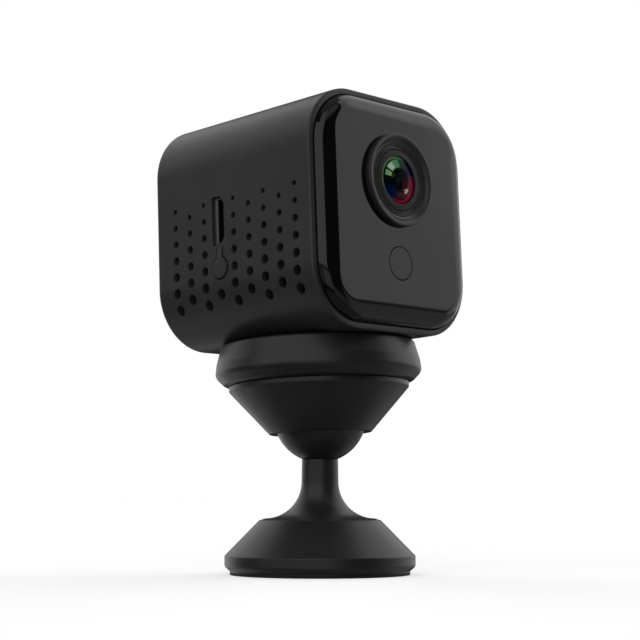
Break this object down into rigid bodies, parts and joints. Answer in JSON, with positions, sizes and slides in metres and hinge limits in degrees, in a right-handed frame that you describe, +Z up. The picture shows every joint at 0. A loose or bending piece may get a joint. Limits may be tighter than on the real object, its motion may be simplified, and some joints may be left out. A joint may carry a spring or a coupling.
{
  "type": "mini security camera",
  "caption": "Rounded cube camera head with a glossy front and perforated sides, held by a magnetic collar on a ball stand with a conical foot.",
  "frame": {"origin": "centre of the foot pad's underside, on the surface the camera stands on", "axes": "+Z up along the stand, -Y the way the lens looks; the side with the port is -X"},
  "size_m": [0.037, 0.0408, 0.0786],
  "materials": {
    "satin_black": "satin moulded black plastic",
    "gloss_black": "polished black plastic",
    "trim_black": "satin black lens trim",
    "barrel_black": "black anodised lens parts",
    "glass": "coated optical glass",
    "inner_grey": "dark grey moulded plastic",
    "rubber": "soft black rubber",
    "steel": "bright plated steel",
    "black_steel": "blackened steel shell",
    "magnet": "nickel-plated magnet",
    "board": "green solder mask",
    "chip": "black moulded component",
    "pouch": "foil pouch of the cell",
    "amber": "amber film",
    "diode": "clear and white diode body",
    "red_wire": "red insulation",
    "black_wire": "black insulation"
  },
  "bodies": {
    "stand": {"foot_pad": "rubber", "base_plate": "steel", "base_magnet": "magnet", "stand_base": "satin_black"},
    "ball": {"ball_stud": "satin_black", "stud_washer": "steel", "stud_screw": "steel"},
    "mount": {"socket_cone": "satin_black", "friction_cup": "inner_grey", "cup_spring": "steel", "collar": "satin_black", "mount_magnet": "magnet", "grip_pad": "rubber"},
    "head": {"housing_sleeve": "satin_black", "front_panel": "gloss_black", "back_cover": "satin_black", "lens_trim_ring": "trim_black", "lens_barrel": "barrel_black", "lens_retainer": "barrel_black", "front_lens": "glass", "middle_lens": "glass", "rear_lens": "glass", "lens_holder": "inner_grey", "ir_filter": "glass", "image_sensor": "chip", "front_board": "board", "front_board_screw_1": "steel", "front_board_screw_2": "steel", "ir_led_1": "diode", "ir_led_2": "diode", "ir_led_3": "diode", "ir_led_4": "diode", "button_switch": "chip", "main_board": "board", "main_board_screw_1": "steel", "main_board_screw_2": "steel", "main_board_screw_3": "steel", "main_board_screw_4": "steel", "shield_can": "steel", "usb_shell": "black_steel", "usb_tongue": "chip", "card_socket": "steel", "reset_switch": "chip", "slide_switch": "steel", "microphone": "steel", "battery": "pouch", "battery_lead_red": "red_wire", "battery_lead_black": "black_wire", "speaker": "chip", "antenna": "amber", "antenna_cable": "black_wire", "flex_cable": "amber", "keeper_plate": "steel"},
    "lens_button": {"front_button": "gloss_black"},
    "reset_tongue": {"reset_key": "satin_black"},
    "power_switch": {"power_slider": "satin_black"}
  },
  "joints": [
    {"name": "ball_pan", "type": "hinge", "parent": "stand", "child": "ball", "pos_m": [0, 0, 0.02645], "axis": [0, 0, 1], "continuous": true},
    {"name": "ball_tilt", "type": "hinge", "parent": "ball", "child": "mount", "pos_m": [0, 0, 0.02645], "axis": [1, 0, 0], "range_deg": [-40, 40]},
    {"name": "head_swivel", "type": "hinge", "parent": "mount", "child": "head", "pos_m": [0, 0, 0.02645], "axis": [0, 0.0476, 0.9989], "continuous": true},
    {"name": "front_button_press", "type": "slide", "parent": "head", "child": "lens_button", "axis": [0, 0.9989, -0.0476], "range_m": [0, 0.0004], "stiffness_N_per_m": 500},
    {"name": "reset_key_press", "type": "hinge", "parent": "head", "child": "reset_tongue", "pos_m": [-0.018, 0.00526, 0.05343], "axis": [0, -0.9989, 0.0476], "range_deg": [0, 6], "stiffness_Nm_per_rad": 0.03},
    {"name": "power_slide", "type": "slide", "parent": "head", "child": "power_switch", "axis": [0, 0.0476, 0.9989], "range_m": [0, 0.002]}
  ]
}
